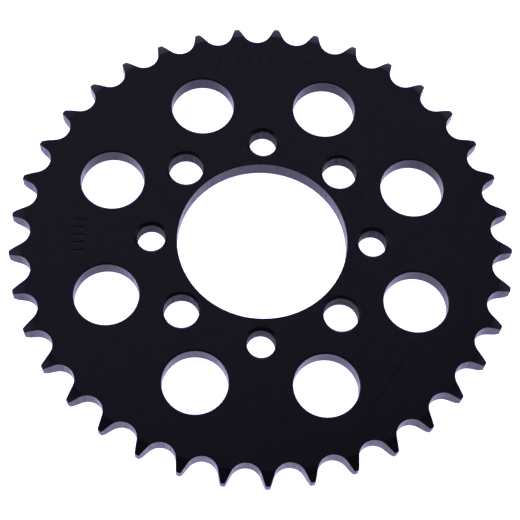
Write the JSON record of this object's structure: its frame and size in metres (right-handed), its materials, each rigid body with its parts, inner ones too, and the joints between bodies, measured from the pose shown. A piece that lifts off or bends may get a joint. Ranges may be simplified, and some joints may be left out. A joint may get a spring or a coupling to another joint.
{
  "type": "rear chain sprocket",
  "caption": "Flat toothed ring plate that a roller chain drives: plain central bore, a circle of bolt holes, round lightening holes and bevelled tooth tips.",
  "frame": {"origin": "centre of the bore on the mounting face, which the plate lies on", "axes": "+Z along the axle, from the mounting face to the outer face; +X through the centre of one of the smaller bolt holes"},
  "size_m": [0.1928, 0.1929, 0.0074],
  "materials": {
    "black_coated_steel": "semi-gloss black coating on steel"
  },
  "bodies": {
    "root": {"sprocket_plate": "black_coated_steel"}
  },
  "joints": []
}
